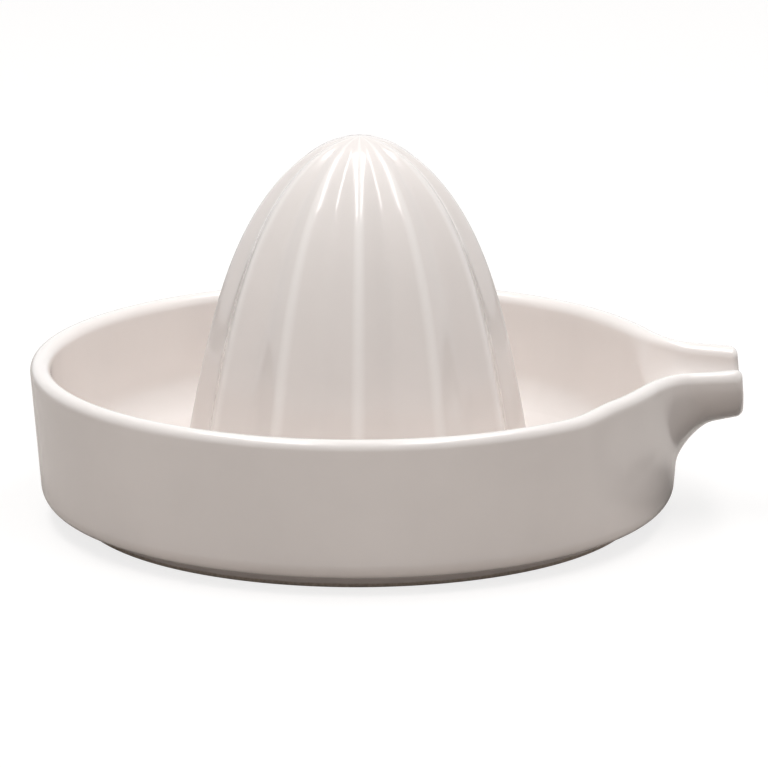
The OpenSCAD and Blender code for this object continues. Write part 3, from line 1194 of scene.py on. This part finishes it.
@dataclass
class Juicer:
    """The whole juicer: its four clay members, dressed and set on the frame."""

    form: BowlForm = field(default_factory=BowlForm)
    steps: MeshSteps = field(default_factory=MeshSteps)
    glaze: Glaze = field(default_factory=Glaze)
    biscuit: Biscuit = field(default_factory=Biscuit)

    def dress(self, piece: bpy.types.Object, material: bpy.types.Material, node: str, slot: str) -> None:
        """Gives a piece its finish and lets it stand for its node.

        Args:
            piece: The piece.
            material: Its finish.
            node: Name of the node that it replaces.
            slot: Name of the record's material slot; not used.
        """
        piece.data.materials.append(material)
        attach(piece, BODY)
        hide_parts(node)
        low, high = np.array(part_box(node))
        corners = np.array(piece.bound_box)
        beyond = max((low - corners.min(axis=0)).max(), (corners.max(axis=0) - high).max())
        log.info("%s stands for %s, at most %.2f mm outside its box", piece.name, node, beyond * 1000)

    def build(self) -> None:
        """Builds and dresses all the members."""
        foot = FootRing(self.form, self.steps)
        cone = ReamerCone(self.form, self.steps)
        dish = Dish(self.form, self.steps, cone, foot)
        spout = PouringSpout(self.form, self.steps)
        pieces = [member.build() for member in (dish, cone, spout, foot)]
        glaze_over(pieces)
        satin, bare = self.glaze.material(), self.biscuit.material()
        finishes = ((satin, "dish", "dish_glaze"), (satin, "reamer_cone", "cone_glaze"),
                    (satin, "pouring_spout", "spout_glaze"), (bare, "foot_ring", "biscuit"))
        for piece, (material, node, slot) in zip(pieces, finishes):
            self.dress(piece, material, node, slot)


@dataclass(frozen=True)
class Softbox:
    """A rectangular studio lamp. The glaze mirrors it only where mirrored is set."""

    name: str
    place: Triple
    aim: Triple
    size: tuple[float, float]
    watts: float
    mirrored: bool = True

    def build(self) -> None:
        """Hangs the lamp."""
        lamp = bpy.data.lights.new(self.name, "AREA")
        lamp.shape = "RECTANGLE"
        lamp.size, lamp.size_y = self.size
        lamp.energy = self.watts
        holder = put(self.name, lamp, self.place, self.aim)
        holder.visible_glossy = self.mirrored


@dataclass
class Studio:
    """Pale floor, soft lamps, white background and the camera."""

    floor_size: float = 6.0
    floor_drop: float = 0.00005
    floor_colour: Triple = (0.28, 0.27, 0.262)
    card_colour: Triple = (0.565, 0.528, 0.50)
    # Painted shadow: a dark round patch on the floor under the spout, seen by bounce light and
    # reflections, not by the camera.
    painted_shadow_colour: Triple = (0.08, 0.073, 0.069)
    painted_shadow_place: Triple = (0.102, 0.0, 0.0)
    painted_shadow_core: float = 0.020
    painted_shadow_reach: float = 0.040
    floor_glow: float = 0.78
    sky: float = 0.2
    elevation: float = 15.56
    distance: float = 1.48515
    aim: Triple = (0.00571, 0.00727, 0.02612)
    lens: float = 323.3
    sensor: float = 36.0
    softboxes: tuple[Softbox, ...] = (
        Softbox("left_strip", (-0.30, -0.06, 1.0), (-0.30, -0.06, 0.0), (0.22, 1.06), 3.5),
        Softbox("left_halo", (-0.30, -0.06, 1.01), (-0.30, -0.06, 0.0), (0.42, 1.2), 2.1),
        Softbox("right_strip", (0.30, -0.06, 1.0), (0.30, -0.06, 0.0), (0.22, 1.06), 3.05),
        Softbox("right_halo", (0.30, -0.06, 1.01), (0.30, -0.06, 0.0), (0.42, 1.2), 1.9),
        Softbox("front_fill", (-0.15, -1.1, 1.1), (0.0, 0.0, 0.03), (1.6, 0.8), 3.2, mirrored=False),
        Softbox("back_fill", (1.1, 0.5, 0.16), (0.0, 0.0, 0.03), (0.5, 0.3), 1.3, mirrored=False),
    )

    def white_to(self, graph: Graph, *rays: str) -> Socket:
        """Tells rays that should see plain white from the ones that see what is really lit.

        Args:
            graph: Node tree to add to.
            rays: Names of the rays besides the camera's.

        Returns:
            A socket that is 1 for the camera's rays and for the named ones.
        """
        path = graph.tree.nodes.new("ShaderNodeLightPath").outputs
        either = path["Is Camera Ray"]
        for name in rays:
            either = graph.calc("MAXIMUM", either, path[name])
        return either

    def card_with_painted_shadow(self, graph: Graph) -> Socket:
        """Colours the floor as the light meets it: a pale card with a round painted shadow under the
        spout.

        Args:
            graph: Node tree to add to.

        Returns:
            A colour socket.
        """
        away = graph.tree.nodes.new("ShaderNodeVectorMath")
        away.operation = "DISTANCE"
        distance = graph.feed(away, {0: graph.place(), 1: self.painted_shadow_place})["Value"]
        # Painted shadow: dark within the core round the spout, fading to the card colour by the reach.
        beyond = graph.ranged(distance, (0.0, 1.0), (self.painted_shadow_core, self.painted_shadow_reach), smooth=True)
        return graph.blend(beyond, (*self.painted_shadow_colour, 1), (*self.card_colour, 1))

    def build_floor(self) -> None:
        """Lays the floor, which keeps the juicer's shadow."""
        half = self.floor_size / 2
        corners = ((-half, -half), (half, -half), (half, half), (-half, half))
        mesh = bpy.data.meshes.new("studio_floor")
        mesh.from_pydata([(x, y, -self.floor_drop) for x, y in corners], [], [(0, 1, 2, 3)])
        floor = put("studio_floor", mesh)
        material = bpy.data.materials.new("studio_floor")
        material.use_nodes = True
        graph = Graph(material.node_tree)
        seen = self.white_to(graph, "Is Transmission Ray")
        graph.feed(graph.tree.nodes["Principled BSDF"], {
            "Base Color": graph.blend(seen, self.card_with_painted_shadow(graph), (*self.floor_colour, 1)),
            "Roughness": 1,
            "Specular IOR Level": 0,
            "Emission Color": (1, 1, 1, 1),
            "Emission Strength": graph.calc("MULTIPLY", seen, self.floor_glow),
        })
        mesh.materials.append(material)

    def build_sky(self) -> None:
        """Fills the world with soft light, white where the camera looks at it."""
        world = bpy.data.worlds.new("studio")
        world.use_nodes = True
        bpy.context.scene.world = world
        graph = Graph(world.node_tree)
        seen = self.white_to(graph, "Is Glossy Ray", "Is Transmission Ray")
        graph.feed(graph.tree.nodes["Background"], {
            "Color": (1, 1, 1, 1), "Strength": graph.ranged(seen, (self.sky, 1.0))})

    def build_camera(self) -> None:
        """Stands the camera at the photograph's viewing angle."""
        data = bpy.data.cameras.new("camera")
        data.lens, data.sensor_width = self.lens, self.sensor
        tilt = math.radians(self.elevation)
        place = (0.0, -self.distance * math.cos(tilt), self.distance * math.sin(tilt))
        bpy.context.scene.camera = put("camera", data, place, self.aim)

    def build(self) -> None:
        """Sets up the whole studio."""
        self.build_camera()
        self.build_floor()
        self.build_sky()
        for softbox in self.softboxes:
            softbox.build()
        bpy.context.scene.view_settings.view_transform = "Standard"


def main() -> None:
    """Builds the studio and the juicer."""
    logging.basicConfig(level=logging.INFO, format="%(name)s: %(message)s")
    Studio().build()
    Juicer().build()


if __name__ == "__main__":
    main()
